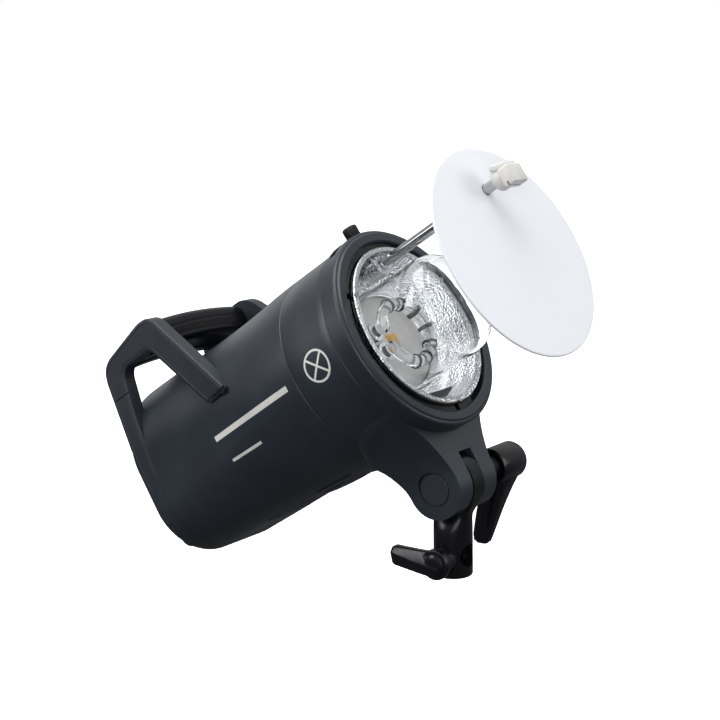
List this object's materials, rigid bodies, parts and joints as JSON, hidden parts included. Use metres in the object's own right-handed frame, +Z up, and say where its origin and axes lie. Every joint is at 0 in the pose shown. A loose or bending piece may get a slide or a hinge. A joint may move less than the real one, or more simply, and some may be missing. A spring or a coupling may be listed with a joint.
{
  "type": "monolight strobe",
  "caption": "Tilting studio flash head with a carrying handle, hammered reflector, glass dome, frosted deflector disc on a rod, and a forked stand bracket with two clamp levers.",
  "frame": {"origin": "centre of the upright stand socket's mouth, at the bottom of the bracket", "axes": "+Z up along the stand, X along the tilt axle, the lamp faces -Y and is tilted up from it"},
  "size_m": [0.149, 0.3496, 0.2927],
  "materials": {
    "body": "satin dark blue-grey",
    "plate": "satin dark blue-grey",
    "black": "fine matt grain",
    "rubber": "soft matt",
    "lever": "semi-gloss black",
    "cast": "satin black",
    "reflector": "bright hammered",
    "steel": "zinc plated",
    "chrome": "polished",
    "glass": "clear",
    "flash": "clear",
    "ceramic": "off-white",
    "light": "amber phosphor",
    "board": "solder resist",
    "sleeve": "shrink sleeve",
    "panel": "gloss black",
    "display": "tinted window",
    "sensor": "dark red",
    "disc": "frosted white",
    "clip": "off-white"
  },
  "bodies": {
    "stand_bracket": {"bracket": "cast", "friction_washers": "steel"},
    "head": {"front_shell": "body", "collar": "body", "bayonet_ring": "black", "barrel": "body", "rear_cover": "body", "handle_plate_left": "plate", "handle_plate_right": "plate", "grip_bar": "rubber", "grip_screws": "steel", "reflector": "reflector", "rim_screws": "steel", "umbrella_tube": "steel", "tube_bush": "rubber", "glass_dome": "glass", "flash_tube": "flash", "trigger_bands": "black", "tube_sockets": "steel", "lamp_base": "ceramic", "model_light": "light", "bulkhead": "steel", "fan_frame": "black", "capacitor_1": "sleeve", "capacitor_2": "sleeve", "capacitor_3": "sleeve", "capacitor_4": "sleeve", "power_board": "board", "control_board": "board", "rear_panel": "panel", "display_window": "display", "power_inlet": "black", "inlet_pins": "chrome", "sync_socket": "steel", "usb_socket": "steel", "light_sensor": "sensor", "cover_screws": "black", "tilt_bolt": "steel", "bolt_cap": "body"},
    "tilt_lever": {"tilt_nut": "cast", "tilt_lever": "lever", "lever_cap": "lever"},
    "lock_lever": {"lock_screw": "steel", "lock_lever": "lever"},
    "mount_lock": {"lock_ring": "steel", "lock_knob": "black"},
    "rod": {"deflector_rod": "chrome"},
    "deflector": {"deflector_disc": "disc", "deflector_clip": "clip"},
    "fan": {"fan_rotor": "black"},
    "dial": {"dial": "black"},
    "button_1": {"button_1": "black"},
    "button_2": {"button_2": "black"},
    "button_3": {"button_3": "black"},
    "button_4": {"button_4": "black"},
    "test_button": {"test_button": "black"},
    "power_switch": {"power_switch": "black"}
  },
  "joints": [
    {"name": "head_tilt", "type": "hinge", "parent": "stand_bracket", "child": "head", "pos_m": [0, 0, 0.063], "axis": [-1, 0, 0], "range_deg": [-110, 36]},
    {"name": "tilt_lever_turn", "type": "hinge", "parent": "head", "child": "tilt_lever", "pos_m": [0.06, 0, 0.063], "axis": [1, 0, 0], "range_deg": [-150, 75]},
    {"name": "lock_lever_turn", "type": "hinge", "parent": "stand_bracket", "child": "lock_lever", "pos_m": [-0.02, 0, 0.012], "axis": [1, 0, 0], "range_deg": [-90, 20]},
    {"name": "mount_lock_turn", "type": "hinge", "parent": "head", "child": "mount_lock", "pos_m": [0, 0.03397, 0.1623], "axis": [0, -0.8434, 0.5373], "range_deg": [0, 24], "stiffness_Nm_per_rad": 0.15, "springref_deg": -17.19},
    {"name": "rod_slide", "type": "slide", "parent": "head", "child": "rod", "axis": [0, -0.8434, 0.5373], "range_m": [-0.035, 0.045]},
    {"name": "deflector_turn", "type": "hinge", "parent": "rod", "child": "deflector", "pos_m": [0, -0.024, 0.25555], "axis": [0, -0.8434, 0.5373], "continuous": true},
    {"name": "fan_spin", "type": "hinge", "parent": "head", "child": "fan", "pos_m": [0, 0.08964, 0.12684], "axis": [0, -0.8434, 0.5373], "continuous": true},
    {"name": "dial_turn", "type": "hinge", "parent": "head", "child": "dial", "pos_m": [0, 0.23002, 0.03266], "axis": [0, -0.8434, 0.5373], "continuous": true},
    {"name": "power_switch_rock", "type": "hinge", "parent": "head", "child": "power_switch", "pos_m": [0.022, 0.20608, 0.00997], "axis": [1, 0, 0], "range_deg": [0, 12]},
    {"name": "button_1_press", "type": "slide", "parent": "head", "child": "button_1", "axis": [0, -0.8434, 0.5373], "range_m": [0, 0.0012], "stiffness_N_per_m": 300, "springref_m": -0.001},
    {"name": "button_2_press", "type": "slide", "parent": "head", "child": "button_2", "axis": [0, -0.8434, 0.5373], "range_m": [0, 0.0012], "stiffness_N_per_m": 300, "springref_m": -0.001},
    {"name": "button_3_press", "type": "slide", "parent": "head", "child": "button_3", "axis": [0, -0.8434, 0.5373], "range_m": [0, 0.0012], "stiffness_N_per_m": 300, "springref_m": -0.001},
    {"name": "button_4_press", "type": "slide", "parent": "head", "child": "button_4", "axis": [0, -0.8434, 0.5373], "range_m": [0, 0.0012], "stiffness_N_per_m": 300, "springref_m": -0.001},
    {"name": "test_button_press", "type": "slide", "parent": "head", "child": "test_button", "axis": [0, -0.8434, 0.5373], "range_m": [0, 0.0012], "stiffness_N_per_m": 300, "springref_m": -0.001}
  ]
}
